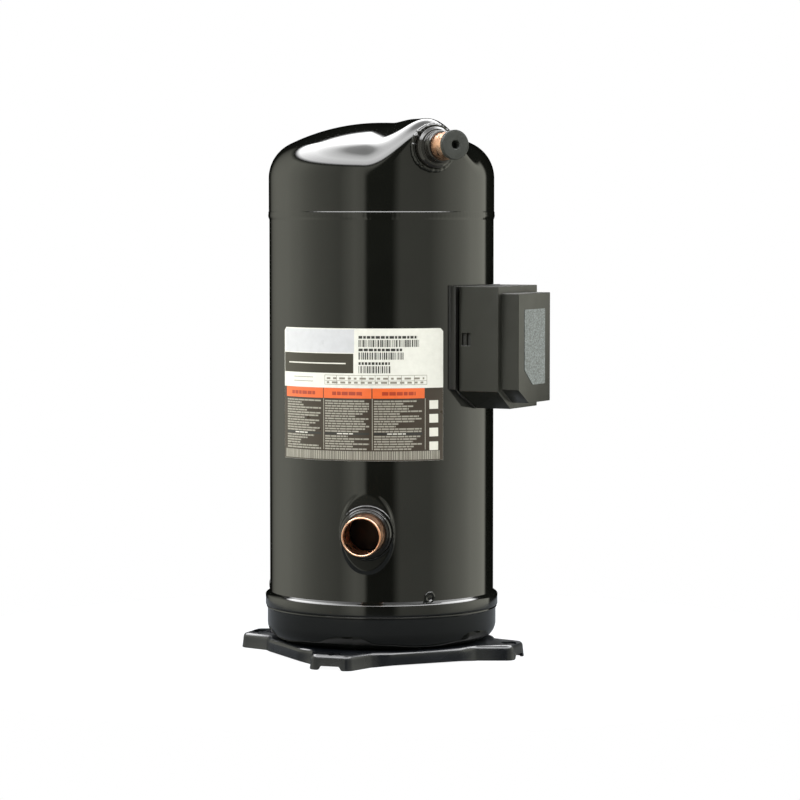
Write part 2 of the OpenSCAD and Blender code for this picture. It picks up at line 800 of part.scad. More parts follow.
module suction_baffle() {
    span = 44;
    foot_z = 109;
    height = stack_z - 0.4 - foot_z;
    color([0.5, 0.5, 0.5]) rotate([0, 0, suct_az - 90 - span / 2]) {
        rotate_extrude(angle = span) translate([91, foot_z]) square([1.5, height]);
        for (a = [0.4, span - 0.4]) rotate([0, 0, a])
            translate([92.3, -0.6, foot_z]) cube([fit_r - 92.6, 1.2, height]);
    }
}

module oil_magnet() {
    color([0.25, 0.25, 0.25]) translate([52, 0, plate_top + 4.02]) cylinder(r = 12, h = 5);
}

module crankshaft() {
    color([0.5, 0.5, 0.52]) difference() {
        union() {
            translate([0, 0, 64.8]) cylinder(r = lower_journal_r, h = 46);
            translate([0, 0, 100]) cylinder(r = 18, h = 12);
            translate([0, 0, 111]) cylinder(r = shaft_r, h = 199);
            translate([0, 0, 309]) cylinder(r = 24, h = 8.5);
            translate([0, 0, 317]) cylinder(r = journal_r, h = 29);
            translate([orbit_r, 0, 345]) cylinder(r = pin_r, h = 23);
        }
        translate([0, 0, 60]) cylinder(r = 7, h = 16);
        translate([4, 0, 70]) cylinder(r = 2.5, h = 320);
    }
}

module oil_pickup() {
    color([0.6, 0.6, 0.6]) rotate_extrude() polygon([[3, 24], [4.5, 24], [6.95, 34], [6.95, 75.5],
        [5.8, 75.5], [5.8, 34.4]]);
}

module rotor_core() {
    color([0.4, 0.41, 0.43]) ring(rotor_r, shaft_r + 0.02, stack_z, stack_top);
}

module rotor_end_rings() {
    color([0.75, 0.75, 0.77]) {
        ring(54, 32, stack_top, stack_top + 10);
        ring(54, 32, stack_z - 10, stack_z);
    }
}

// half a ring on the side of azimuth direction dir
module half_weight(z0, z1, dir) {
    color([0.45, 0.42, 0.38]) intersection() {
        ring(53, 33, z0, z1);
        translate([dir > 0 ? 0 : -60, -60, z0 - 1]) cube([60, 120, z1 - z0 + 2]);
    }
}

module upper_counterweight() {
    half_weight(stack_top + 10, stack_top + 26, -1);
}

module lower_counterweight() {
    half_weight(stack_z - 24, stack_z - 10, 1);
}

base_plate();
lower_cup();
shell_tube();
top_cap();
shell_weld_beads();
fitting_welds();
suction_fitting();
suction_stub();
discharge_fitting();
discharge_stub();
discharge_plug();
box_gasket();
terminal_box_base();
terminal_box_cover();
cover_decal();
terminal_cup();
terminal_glass();
terminal_pins();
terminal_block();
terminal_screws();
ground_screw();
nameplate_label();
plug_welds();
muffler_plate();
fixed_scroll();
main_bearing_housing();
main_bearing_bush();
scroll_bolts();
bolt_sleeves();
check_valve_retainer();
check_valve_disc();
relief_valve_body();
relief_valve_spring();
relief_valve_poppet();
thermal_disc();
floating_seal();
floating_seal_rings();
stator_core();
stator_windings();
motor_leads();
lead_plug();
lower_bearing_bracket();
lower_bearing_bush();
thrust_washer();
suction_baffle();
oil_magnet();
crankshaft();
oil_pickup();
rotor_core();
rotor_end_rings();
upper_counterweight();
lower_counterweight();
drive_bush();
orbiting_scroll();
orbiting_hub_bush();
oldham_ring();
oldham_keys();
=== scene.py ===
"""The looks of the scroll compressor: painted shell, copper stubs, terminal box, label and studio."""
import json
import math
import random

import bmesh
import bpy
from mathutils import Matrix, Vector


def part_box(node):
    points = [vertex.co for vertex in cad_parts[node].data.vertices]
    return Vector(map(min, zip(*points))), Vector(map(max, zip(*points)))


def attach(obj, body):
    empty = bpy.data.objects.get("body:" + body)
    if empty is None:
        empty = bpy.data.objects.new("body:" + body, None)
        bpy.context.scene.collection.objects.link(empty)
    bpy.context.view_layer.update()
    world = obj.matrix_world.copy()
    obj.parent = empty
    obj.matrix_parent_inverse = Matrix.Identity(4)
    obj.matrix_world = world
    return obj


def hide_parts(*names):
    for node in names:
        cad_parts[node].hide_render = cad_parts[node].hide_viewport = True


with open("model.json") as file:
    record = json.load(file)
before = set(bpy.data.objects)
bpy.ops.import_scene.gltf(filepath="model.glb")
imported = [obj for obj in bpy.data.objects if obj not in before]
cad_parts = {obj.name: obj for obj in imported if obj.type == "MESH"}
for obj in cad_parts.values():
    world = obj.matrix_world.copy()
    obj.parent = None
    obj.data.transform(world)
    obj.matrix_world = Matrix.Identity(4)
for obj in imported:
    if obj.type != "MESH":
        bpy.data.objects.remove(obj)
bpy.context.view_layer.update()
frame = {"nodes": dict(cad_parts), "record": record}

MM = 0.001
AZ_CAMERA = -24.95         # azimuth of the viewpoint, from the front (-Y) towards the right (+X)
LENS_PX = 3171.0           # focal length in pixels of an 800 pixel wide frame
FRAME_PX = 800.0
CAMERA_DISTANCE = 3.18
CAMERA_SHIFT = 0.0185      # the camera stands this far to the right of the shell axis
CAMERA_HEIGHT = 0.439
CAMERA_PITCH = 3.33        # degrees below the horizon

# main radii and heights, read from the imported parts
TUBE_R = 0.11225
CAP_R = (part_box("top_cap")[1].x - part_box("top_cap")[0].x) / 2
CAP_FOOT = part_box("top_cap")[0].z
CUP_R = (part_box("lower_cup")[1].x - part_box("lower_cup")[0].x) / 2
TUBE_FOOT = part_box("shell_tube")[0].z
TUBE_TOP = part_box("shell_tube")[1].z
PLATE_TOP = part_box("base_plate")[1].z

MOUNTS = {m["name"]: m for m in frame["record"]["mounts"]}
JOINTS = {j["name"]: j for j in frame["record"]["behaviour"]["joints"]}


def azimuth(v):
    """The azimuth of a direction, in degrees from the front towards the right."""
    return math.degrees(math.atan2(v[0], -v[1]))


SUCTION_AZ = azimuth(MOUNTS["suction_socket"]["axis"])
SUCTION_Z = MOUNTS["suction_socket"]["pos_m"][2]
STUB_AXIS = Vector(MOUNTS["discharge_tube"]["axis"]).normalized()
STUB_AT = Vector(MOUNTS["discharge_tube"]["pos_m"])
DISCHARGE_AZ = azimuth(STUB_AXIS)
DISCHARGE_TILT = math.degrees(math.asin(STUB_AXIS.z))
DISCHARGE_Z = STUB_AT.z - (STUB_AT.xy.length - CAP_R) * math.tan(math.radians(DISCHARGE_TILT))
BOX_AZ = azimuth(JOINTS["cover_pull"]["axis"])
BOX_Z = (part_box("terminal_box_base")[0].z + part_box("terminal_box_base")[1].z) / 2
LABEL_AZ = azimuth((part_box("nameplate_label")[0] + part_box("nameplate_label")[1]) / 2)


# ---------------------------------------------------------------- geometry helpers

def outward(az):
    """The horizontal unit vector at an azimuth."""
    a = math.radians(az)
    return Vector((math.sin(a), -math.cos(a), 0.0))


def axis_frame(origin, axis):
    """A matrix whose X column is the axis, Z as near to up as it can be, at the origin."""
    x = Vector(axis).normalized()
    y = Vector((0, 0, 1)).cross(x).normalized()
    z = x.cross(y)
    m = Matrix((x, y, z)).transposed().to_4x4()
    m.translation = Vector(origin)
    return m


def suction_frame():
    return axis_frame((0, 0, SUCTION_Z), outward(SUCTION_AZ))


def discharge_frame():
    t = math.radians(DISCHARGE_TILT)
    axis = outward(DISCHARGE_AZ) * math.cos(t) + Vector((0, 0, math.sin(t)))
    return axis_frame(outward(DISCHARGE_AZ) * CAP_R + Vector((0, 0, DISCHARGE_Z)), axis)


def box_frame():
    return axis_frame((0, 0, 0), outward(BOX_AZ))


def upright_frame():
    """X of a profile runs up the shell axis."""
    return Matrix(((0, 1, 0, 0), (0, 0, 1, 0), (1, 0, 0, 0), (0, 0, 0, 1)))


def fillet(points, radius, steps=4, keep=()):
    """Rounds the corners of a closed outline; corners whose number is in keep stay sharp."""
    out = []
    n = len(points)
    for i, p in enumerate(points):
        p = Vector(p)
        a = Vector(points[i - 1]) - p
        b = Vector(points[(i + 1) % n]) - p
        turn = a.angle(b, math.pi) if a.length > 1e-9 and b.length > 1e-9 else math.pi
        if i in keep or turn > math.radians(170):
            out.append(tuple(p))
            continue
        cut = min(radius / math.tan(turn / 2), 0.45 * a.length, 0.45 * b.length)
        start = p + a.normalized() * cut
        end = p + b.normalized() * cut
        for k in range(steps + 1):
            t = k / steps
            q = start * (1 - t) ** 2 + p * (2 * t * (1 - t)) + end * t ** 2
            out.append(tuple(q))
    return out


def turned(profile, matrix, segments=128, ripple=None):
    """A solid of revolution about the frame's X axis. The profile is a closed loop of (radius, x);
    points on the axis become one vertex. ripple(angle, radius, x) may return a new radius."""
    verts, faces, rows = [], [], []
    for r, x in profile:
        if r < 1e-7:
            rows.append([len(verts)])
            verts.append(matrix @ Vector((x, 0, 0)))
            continue
        row = []
        for k in range(segments):
            t = 2 * math.pi * k / segments
            q = ripple(t, r, x) if ripple else r
            row.append(len(verts))
            verts.append(matrix @ Vector((x, q * math.cos(t), q * math.sin(t))))
        rows.append(row)
    for i, row in enumerate(rows):
        nxt = rows[(i + 1) % len(rows)]
        if len(row) == 1 and len(nxt) == 1:
            continue
        for k in range(segments):
            j = (k + 1) % segments
            ring = [row[k % len(row)], row[j % len(row)], nxt[j % len(nxt)], nxt[k % len(nxt)]]
            face = list(dict.fromkeys(ring))
            faces.append(face)
    return verts, faces


def grid(rows, closed_u=True, closed_v=False):
    """Vertices and faces of a sheet given as rows of points."""
    verts = [p for row in rows for p in row]
    m = len(rows[0])
    faces = []
    for i in range(len(rows) if closed_v else len(rows) - 1):
        i2 = (i + 1) % len(rows)
        for k in range(m if closed_u else m - 1):
            j = (k + 1) % m
            faces.append([i * m + k, i * m + j, i2 * m + j, i2 * m + k])
    return verts, faces


def piece(name, geometry, material, body, replaced=(), sharp=32.0):
    """Makes an object from vertices and faces, gives it its material and ties it to its body."""
    mesh = bpy.data.meshes.new(name)
    mesh.from_pydata([tuple(v) for v in geometry[0]], [], geometry[1])
    mesh.validate()
    tidy = bmesh.new()
    tidy.from_mesh(mesh)
    bmesh.ops.recalc_face_normals(tidy, faces=tidy.faces)
    tidy.to_mesh(mesh)
    tidy.free()
    mesh.shade_smooth()
    if sharp:
        mesh.set_sharp_from_angle(angle=math.radians(sharp))
    return finish_piece(name, mesh, material, body, replaced)


def finish_piece(name, mesh, material, body, replaced=()):
    mesh.materials.clear()
    mesh.materials.append(material)
    obj = bpy.data.objects.new(name, mesh)
    bpy.context.scene.collection.objects.link(obj)
    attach(obj, body)
    if replaced:
        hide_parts(*replaced)
    return obj


def applied(obj):
    """Turns the object's modifiers into its mesh."""
    graph = bpy.context.evaluated_depsgraph_get()
    mesh = bpy.data.meshes.new_from_object(obj.evaluated_get(graph))
    obj.modifiers.clear()
    obj.data = mesh
    return obj


def carved(obj, cutter_geometry):
    """Cuts a closed shape out of the object."""
    mesh = bpy.data.meshes.new("cutter")
    mesh.from_pydata([tuple(v) for v in cutter_geometry[0]], [], cutter_geometry[1])
    tidy = bmesh.new()
    tidy.from_mesh(mesh)
    bmesh.ops.recalc_face_normals(tidy, faces=tidy.faces)
    tidy.to_mesh(mesh)
    tidy.free()
    cutter = bpy.data.objects.new("cutter", mesh)
    bpy.context.scene.collection.objects.link(cutter)
    cut = obj.modifiers.new("cut", "BOOLEAN")
    cut.operation = "DIFFERENCE"
    cut.solver = "EXACT"
    cut.object = cutter
    applied(obj)
    bpy.data.objects.remove(cutter)
    return obj


def refined(node, material, width, body, segments=3):
    """A bevelled copy of a CAD node's shape, with its edges rounded by width."""
    source = frame["nodes"][node]
    mesh = source.data.copy()
    tidy = bmesh.new()
    tidy.from_mesh(mesh)
    bmesh.ops.remove_doubles(tidy, verts=tidy.verts, dist=2e-6)
    bmesh.ops.dissolve_limit(tidy, angle_limit=math.radians(0.4), verts=tidy.verts, edges=tidy.edges)
    tidy.to_mesh(mesh)
    tidy.free()
    mesh.shade_smooth()
    obj = finish_piece(node + "_fine", mesh, material, body, (node,))
    bevel = obj.modifiers.new("edges", "BEVEL")
    bevel.width = width
    bevel.segments = segments
    bevel.limit_method = "ANGLE"
    bevel.angle_limit = math.radians(35)
    bevel.harden_normals = True
    applied(obj)
    obj.data.set_sharp_from_angle(angle=math.radians(40))
    return obj


# ---------------------------------------------------------------- material helpers

class Shader:
    """A Principled material with node helpers. Coordinates are the object's own, in metres."""

    def __init__(self, name, color, rough=0.5, metallic=0.0, **sockets):
        self.material = bpy.data.materials.new(name)
        self.material.use_nodes = True
        self.material.diffuse_color = (*color, 1.0)
        self.tree = self.material.node_tree
        self.bsdf = self.tree.nodes["Principled BSDF"]
        self.color = color
        self.rough = rough
        self.set("Base Color", (*color, 1.0))
        self.set("Roughness", rough)
        self.set("Metallic", metallic)
        for key, value in sockets.items():
            self.set(key.replace("_", " "), value)
        self.coords = self.node("ShaderNodeTexCoord").outputs["Object"]
        self.normal = None

    def node(self, kind, **props):
        made = self.tree.nodes.new(kind)
        for key, value in props.items():
            setattr(made, key, value)
        return made

    def set(self, socket, value):
        self.bsdf.inputs[socket].default_value = value

    def link(self, a, b):
        self.tree.links.new(a, b)

    def noise(self, scale, detail=3.0, rough=0.5, stretch=None):
        made = self.node("ShaderNodeTexNoise")
        made.inputs["Scale"].default_value = scale
        made.inputs["Detail"].default_value = detail
        made.inputs["Roughness"].default_value = rough
        source = self.coords
        if stretch:
            mapping = self.node("ShaderNodeMapping")
            mapping.inputs["Scale"].default_value = stretch
            self.link(self.coords, mapping.inputs["Vector"])
            source = mapping.outputs["Vector"]
        self.link(source, made.inputs["Vector"])
        return made.outputs["Fac"]

    def ranged(self, source, low, high, from_low=0.3, from_high=0.7):
        made = self.node("ShaderNodeMapRange")
        made.inputs["From Min"].default_value = from_low
        made.inputs["From Max"].default_value = from_high
        made.inputs["To Min"].default_value = low
        made.inputs["To Max"].default_value = high
        self.link(source, made.inputs["Value"])
        return made.outputs["Result"]

    def mix(self, fac, a, b):
        """A colour mix; a and b are colours or sockets."""
        made = self.node("ShaderNodeMix", data_type="RGBA")
        self.link(fac, made.inputs["Factor"])
        for value, socket in ((a, made.inputs[6]), (b, made.inputs[7])):
            if isinstance(value, tuple):
                socket.default_value = (*value, 1.0)
            else:
                self.link(value, socket)
        return made.outputs[2]

    def vary_color(self, scale, other, low=0.3, high=0.7, detail=4.0, stretch=None):
        """Blotches of another colour."""
        fac = self.ranged(self.noise(scale, detail, 0.55, stretch), 0.0, 1.0, low, high)
        out = self.mix(fac, self.color, other)
        self.link(out, self.bsdf.inputs["Base Color"])
        return self

    def vary_rough(self, scale, low, high, detail=3.0, stretch=None):
        fac = self.noise(scale, detail, 0.5, stretch)
        self.link(self.ranged(fac, low, high), self.bsdf.inputs["Roughness"])
        return self

    def bump(self, scale, strength, distance=0.0005, detail=2.0, stretch=None):
        made = self.node("ShaderNodeBump")
        made.inputs["Strength"].default_value = strength
        made.inputs["Distance"].default_value = distance
        self.link(self.noise(scale, detail, 0.5, stretch), made.inputs["Height"])
        if self.normal:
            self.link(self.normal, made.inputs["Normal"])
        self.normal = made.outputs["Normal"]
        self.link(self.normal, self.bsdf.inputs["Normal"])
        return self


def paint(name, color, rough, peel=0.05):
    """Glossy black enamel with faint orange peel and slight dust in its sheen."""
    s = Shader(name, color, rough, Specular_IOR_Level=0.5, IOR=1.5)
    s.vary_color(9, tuple(c * 1.7 + 0.001 for c in color))
    s.vary_rough(14, rough * 0.8, rough * 1.35)
    s.bump(170, peel, 0.0002, 1.0)
    return s.material


def plastic(name, color, rough):
    """Moulded plastic with a fine spark-eroded grain."""
    s = Shader(name, color, rough)
    s.vary_color(30, tuple(c * 1.25 for c in color))
    s.vary_rough(60, rough * 0.88, rough * 1.12)
    s.bump(1900, 0.16, 0.0001, 2.0)
    return s.material


def rubber(name, color):
    s = Shader(name, color, 0.62, Specular_IOR_Level=0.4)
    s.vary_color(220, tuple(c * 1.5 for c in color), 0.4, 0.75)
    s.vary_rough(130, 0.5, 0.72)
    s.bump(1400, 0.25, 0.0001, 3.0)
    return s.material


def metal(name, color, rough, worn=None, streak=(1, 1, 1), grain=500):
    """Bare metal with directional tool marks."""
    s = Shader(name, color, rough, 1.0)
    s.vary_color(60, worn or tuple(c * 0.72 for c in color), 0.35, 0.75, stretch=streak)
    s.vary_rough(140, rough * 0.75, min(1.0, rough * 1.35), stretch=streak)
    s.bump(grain, 0.12, 0.0001, 3.0, stretch=streak)
    return s.material


def casting(name, color, rough=0.55):
    """Machined grey iron with its open grain."""
    s = Shader(name, color, rough, 0.85)
    s.vary_color(120, tuple(c * 0.6 for c in color), 0.4, 0.7)
    s.vary_rough(260, rough * 0.8, rough * 1.2)
    s.bump(900, 0.3, 0.0002, 4.0)
    return s.material


def copper(name):
    """Drawn copper tube: warm bare metal, browner where the brazing heat reached it."""
    s = Shader(name, (0.92, 0.55, 0.36), 0.3, 1.0)
    heat = s.ranged(s.noise(70, 5.0, 0.6), 0.0, 1.0, 0.38, 0.66)
    stain = s.ranged(s.noise(260, 4.0, 0.6), 0.0, 1.0, 0.5, 0.8)
    tone = s.mix(heat, (0.95, 0.62, 0.44), (0.82, 0.43, 0.26))
    s.link(s.mix(stain, tone, (0.55, 0.25, 0.13)), s.bsdf.inputs["Base Color"])
    s.vary_rough(190, 0.22, 0.42)
    s.bump(700, 0.1, 0.0001, 3.0)
    return s.material


def printed(name, color, rough=0.32):
    """Printed polyester film, faintly uneven in ink."""
    s = Shader(name, color, rough)
    s.vary_color(160, tuple(c * 0.93 for c in color), 0.35, 0.7)
    s.vary_rough(90, rough * 0.85, rough * 1.2)
    s.bump(1200, 0.03, 0.00005, 2.0)
    return s.material


def foil(name, color):
    """Brushed silver foil with a sparkling fleck."""
    s = Shader(name, color, 0.42, 0.55)
    cells = s.node("ShaderNodeTexVoronoi")
    cells.inputs["Scale"].default_value = 900
    s.link(s.coords, cells.inputs["Vector"])
    fleck = s.node("ShaderNodeSeparateColor")
    s.link(cells.outputs["Color"], fleck.inputs["Color"])
    tone = s.mix(s.ranged(fleck.outputs["Red"], 0.0, 1.0, 0.2, 0.9),
                 tuple(c * 0.62 for c in color), tuple(min(1, c * 1.25) for c in color))
    s.link(tone, s.bsdf.inputs["Base Color"])
    s.vary_rough(400, 0.34, 0.55)
    s.bump(1500, 0.2, 0.0001, 2.0)
    return s.material


MATERIALS = {
    "base_paint": paint("base_paint", (0.004, 0.005, 0.007), 0.26, 0.07),
    "shell_paint": paint("shell_paint", (0.0035, 0.0038, 0.0032), 0.07, 0.035),
    "fitting_steel": paint("fitting_steel", (0.006, 0.0055, 0.005), 0.15, 0.1),
    "copper_tube": copper("copper_tube"),
    "plug_rubber": rubber("plug_rubber", (0.018, 0.020, 0.019)),
    "gasket_rubber": rubber("gasket_rubber", (0.010, 0.010, 0.010)),
    "box_plastic": plastic("box_plastic", (0.011, 0.0115, 0.0095), 0.36),
    "decal_foil": foil("decal_foil", (0.19, 0.21, 0.225)),
    "terminal_steel": metal("terminal_steel", (0.6, 0.58, 0.52), 0.3),
    "sealing_glass": plastic("sealing_glass", (0.06, 0.12, 0.1), 0.1),
    "block_plastic": plastic("block_plastic", (0.03, 0.03, 0.033), 0.4),
    "plated_screw": metal("plated_screw", (0.78, 0.66, 0.36), 0.3),
    "label_film": printed("label_film", (0.84, 0.84, 0.83)),
    "plate_steel": metal("plate_steel", (0.42, 0.42, 0.41), 0.42),
    "cast_iron": casting("cast_iron", (0.3, 0.3, 0.31)),
    "bearing_bronze": metal("bearing_bronze", (0.62, 0.47, 0.28), 0.35),
    "bolt_steel": metal("bolt_steel", (0.28, 0.28, 0.29), 0.4),
    "valve_brass": metal("valve_brass", (0.75, 0.57, 0.25), 0.3),
    "spring_steel": metal("spring_steel", (0.55, 0.55, 0.57), 0.28),
    "seal_iron": casting("seal_iron", (0.38, 0.38, 0.38), 0.4),
    "seal_polymer": plastic("seal_polymer", (0.68, 0.63, 0.5), 0.5),
    "lamination_steel": metal("lamination_steel", (0.3, 0.31, 0.33), 0.45,
                              streak=(0.2, 0.2, 12), grain=700),
    "winding_copper": metal("winding_copper", (0.56, 0.22, 0.08), 0.3,
                            streak=(0.5, 0.5, 9), grain=350),
    "lead_insulation": plastic("lead_insulation", (0.5, 0.06, 0.05), 0.35),
    "connector_plastic": plastic("connector_plastic", (0.7, 0.66, 0.52), 0.45),
    "magnet_black": casting("magnet_black", (0.1, 0.1, 0.1), 0.6),
    "shaft_steel": metal("shaft_steel", (0.5, 0.5, 0.52), 0.22, streak=(1, 1, 8)),
    "cast_aluminium": casting("cast_aluminium", (0.62, 0.62, 0.63), 0.45),
    "counterweight_iron": casting("counterweight_iron", (0.32, 0.29, 0.25), 0.55),
}
# Near-black copy of the box plastic for the terminal box base: painted shade, as the flange sits in
# shadow beside the shell.
BOX_BASE_PAINTED_SHADE = plastic("box_base_painted_shade", (0.003, 0.003, 0.003), 0.4)
# Near-black sheet for the suction baffle: painted shade, standing in for the dark inside of the suction
# stub.
BAFFLE_PAINTED_SHADE = plastic("baffle_painted_shade", (0.004, 0.004, 0.004), 0.7)
INK = {
    "lavender": printed("ink_lavender", (0.64, 0.65, 0.73)),
    "umber": printed("ink_umber", (0.035, 0.030, 0.020)),
    "brown": printed("ink_brown", (0.042, 0.030, 0.022)),
    "orange": printed("ink_orange", (0.86, 0.15, 0.035)),
    "red": printed("ink_red", (0.42, 0.05, 0.02)),
    "grey": printed("ink_grey", (0.27, 0.25, 0.22)),
    "black": printed("ink_black", (0.03, 0.03, 0.03)),
    "silver": printed("ink_silver", (0.36, 0.345, 0.31)),
    "white": printed("ink_white", (0.8, 0.79, 0.76)),
}


def dress_cad_nodes():
    slot_of = {s["node"]: s["material_slot"] for s in frame["record"]["subparts"]}
    for name, obj in frame["nodes"].items():
        obj.data.materials.clear()
        # The suction baffle gets the near-black painted-shade sheet instead of its slot's material.
        obj.data.materials.append(BAFFLE_PAINTED_SHADE if name == "suction_baffle" else MATERIALS[slot_of[name]])


# ---------------------------------------------------------------- shell

DOME_TOP = 0.5315
CROWN_R = 0.207
KNUCKLE_R = 0.038
LOBE_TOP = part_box("top_cap")[1].z
LOBE_EDGE = 0.014
LOBE_HALF = 35.0
LOBE_FADE = 0.075
CAP_WALL = 0.004


def dome_height(r, inset):
    """Outline of the torispherical dome at radius r."""
    c = CAP_R - KNUCKLE_R
    centre = DOME_TOP - CROWN_R
    knuckle_z = centre + math.sqrt((CROWN_R - KNUCKLE_R) ** 2 - c * c)
    tangent = c * (CROWN_R - inset) / (CROWN_R - KNUCKLE_R)
    if r > tangent:
        return knuckle_z + math.sqrt(max(0.0, (KNUCKLE_R - inset) ** 2 - (r - c) ** 2))
    return centre + math.sqrt((CROWN_R - inset) ** 2 - r * r)


def lobe_height(r, inset):
    """Outline of the lobe's flat top and rounded edge at radius r."""
    past = max(0.0, r - CAP_R + LOBE_EDGE)
    return LOBE_TOP - LOBE_EDGE + math.sqrt(max(0.0, (LOBE_EDGE - inset) ** 2 - past ** 2))


def lobe_share(r, az):
    """How far the lobe takes over from the dome: fades sideways and towards the middle."""
    off = (az - DISCHARGE_AZ + 180) % 360 - 180
    if abs(off) >= LOBE_HALF:
        return 0.0
    inward = 0.5 - 0.5 * math.cos(math.pi * min(1.0, r / LOBE_FADE))
    return (0.5 + 0.5 * math.cos(math.pi * off / LOBE_HALF)) * inward


def cap_skin(inset, n, rings):
    """Rows of points from the wall's foot, up the wall and in to the middle of the dome."""
    r0 = CAP_R - inset
    azimuths = [360 * k / n for k in range(n)]
    rows = [[outward(a) * r0 + Vector((0, 0, CAP_FOOT)) for a in azimuths]]
    for j in range(rings):
        r = r0 * (1 - (j / rings) ** 2.2)
        row = []
        for a in azimuths:
            share = lobe_share(r, a)
            low = dome_height(r, inset)
            z = low + share * (lobe_height(r, inset) - low)
            row.append(outward(a) * r + Vector((0, 0, z)))
        rows.append(row)
    return rows


def make_top_cap():
    n, rings = 288, 44
    outer = cap_skin(0.0, n, rings)
    inner = cap_skin(CAP_WALL, n, rings)
    rows = list(reversed(inner)) + outer
    verts, faces = grid(rows)
    m = len(verts)
    verts += [Vector((0, 0, DOME_TOP - CAP_WALL)), Vector((0, 0, DOME_TOP))]
    last = (len(rows) - 1) * n
    for k in range(n):
        j = (k + 1) % n
        faces.append([k, j, m])
        faces.append([last + k, last + j, m + 1])
    return piece("top_cap_shell", (verts, faces), MATERIALS["shell_paint"], "shell",
                 ("top_cap",), sharp=50)


def make_lower_cup():
    wall, corner = 0.004, 0.017
    arc = [(CUP_R - corner + corner * math.sin(t), PLATE_TOP + corner - corner * math.cos(t))
           for t in [math.pi / 2 * k / 12 for k in range(13)]]
    inner = [(CUP_R - corner + (corner - wall) * math.sin(t),
              PLATE_TOP + corner - (corner - wall) * math.cos(t))
             for t in [math.pi / 2 * (12 - k) / 12 for k in range(13)]]
    top = TUBE_FOOT - 0.0002
    spigot = TUBE_R - 0.0033
    profile = ([(0, PLATE_TOP)] + arc + [(CUP_R, top - 0.0006), (CUP_R - 0.0006, top), (spigot, top),
               (spigot, top + 0.010), (spigot - wall, top + 0.010), (spigot - wall, top - wall),
               (CUP_R - wall, top - wall)] + inner + [(0, PLATE_TOP + wall)])
    geometry = turned(profile, upright_frame(), 192)
    return piece("lower_cup_shell", geometry, MATERIALS["shell_paint"], "shell",
                 ("lower_cup",))


PAD_HALF_W = 0.0262
PAD_HALF_H = 0.0386
FLARE_R = (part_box("shell_tube")[1].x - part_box("shell_tube")[0].x) / 2


def smoothstep(t):
    t = max(0.0, min(1.0, t))
    return t * t * (3 - 2 * t)


def tube_radius(az, z):
    """Outer radius of the tube: plain wall, flared foot, and a flat pad pressed at the suction port."""
    shoulder = TUBE_FOOT + 0.0108
    flare_end = TUBE_FOOT + 0.0143
    r = TUBE_R
    if z < TUBE_FOOT + 0.0012:
        r = FLARE_R - 0.0012 * (1 - (z - TUBE_FOOT) / 0.0012) ** 2
    elif z < shoulder:
        r = FLARE_R
    elif z < flare_end:
        s = (z - shoulder) / (flare_end - shoulder)
        r = TUBE_R + (FLARE_R - TUBE_R) * (1 - s ** 1.6) ** 0.9
    off = (az - SUCTION_AZ + 180) % 360 - 180
    if abs(off) > 40:
        return r
    flat = (TUBE_R + 0.0004) / math.cos(math.radians(off))
    across = flat * math.sin(math.radians(off)) / PAD_HALF_W
    along = (z - SUCTION_Z) / PAD_HALF_H
    reach = math.sqrt(across ** 2 + along ** 2)
    inside = 1 - smoothstep((reach - 0.95) / 0.13)
    return r + (flat - r) * inside


def spaced(stops):
    """Numbers from a list of (start, end, step) stretches, ends included once."""
    out = []
    for start, end, step in stops:
        n = max(1, round((end - start) / step))
        out += [start + (end - start) * k / n for k in range(n)]
    out.append(stops[-1][1])
    return out


def make_shell_tube():
    near = (SUCTION_AZ - 22, SUCTION_AZ + 22, 0.3)
    far = (SUCTION_AZ + 22, SUCTION_AZ + 338, 2.0)
    azimuths = spaced([near, far])[:-1]
    foot, top = TUBE_FOOT, TUBE_TOP
    heights = spaced([(foot, foot + 0.019, 0.0005), (foot + 0.019, SUCTION_Z - 0.045, 0.01),
                      (SUCTION_Z - 0.045, SUCTION_Z + 0.045, 0.0008),
                      (SUCTION_Z + 0.045, top, 0.03)])
    rows = [[outward(a) * tube_radius(a, z) + Vector((0, 0, z)) for a in azimuths] for z in heights]
    inner_r = TUBE_R - 0.00325
    for z in (top, foot):
        rows.append([outward(a) * inner_r + Vector((0, 0, z)) for a in azimuths])
    obj = piece("shell_tube_wall", grid(rows, closed_v=True), MATERIALS["shell_paint"], "shell",
                ("shell_tube",), sharp=50)
    port = fillet([(0, 0.09), (0.0201, 0.09), (0.0201, 0.13), (0, 0.13)], 0.0001, keep=(0, 1, 2, 3))
    carved(obj, turned(port, suction_frame(), 96))
    port = [(0, 0.09), (0.019, 0.09), (0.019, 0.13), (0, 0.13)]
    carved(obj, turned(port, axis_frame((0, 0, BOX_Z), outward(BOX_AZ)), 96))
    obj.data.set_sharp_from_angle(angle=math.radians(50))
    return obj


def make_weld_beads():
    """The seam under the cap and the fillet at the cup, with the faint scale of a machine weld."""
    mid, half, crown = CAP_FOOT - 0.0025, 0.004, 0.0011
    arc = []
    for k in range(13):
        s = -1 + k / 6
        arc.append((TUBE_R + 0.00002 + crown * math.cos(math.pi / 2 * s) + (0.00056 if s > 0.5 else 0),
                    mid + half * s))
    profile = arc + [(CAP_R - 0.0008, mid + half), (TUBE_R - 0.0008, mid - half)]

    def scale_marks(t, r, x):
        return r + 0.00002 * math.sin(150 * t) * (1 if r > TUBE_R else 0)

    seam = turned(profile, upright_frame(), 720, scale_marks)
    cup_top = TUBE_FOOT - 0.0002
    lower = fillet([(CUP_R - 0.0004, cup_top - 0.0028), (CUP_R + 0.0011, cup_top - 0.0012),
                    (CUP_R + 0.0009, cup_top + 0.0002), (CUP_R - 0.0004, cup_top + 0.0002)], 0.0005)
    foot = turned(lower, upright_frame(), 192)
    offset = len(seam[0])
    verts = seam[0] + foot[0]
    faces = seam[1] + [[i + offset for i in f] for f in foot[1]]
    return piece("shell_seam_beads", (verts, faces), MATERIALS["shell_paint"], "shell",
                 ("shell_weld_beads",), sharp=60)


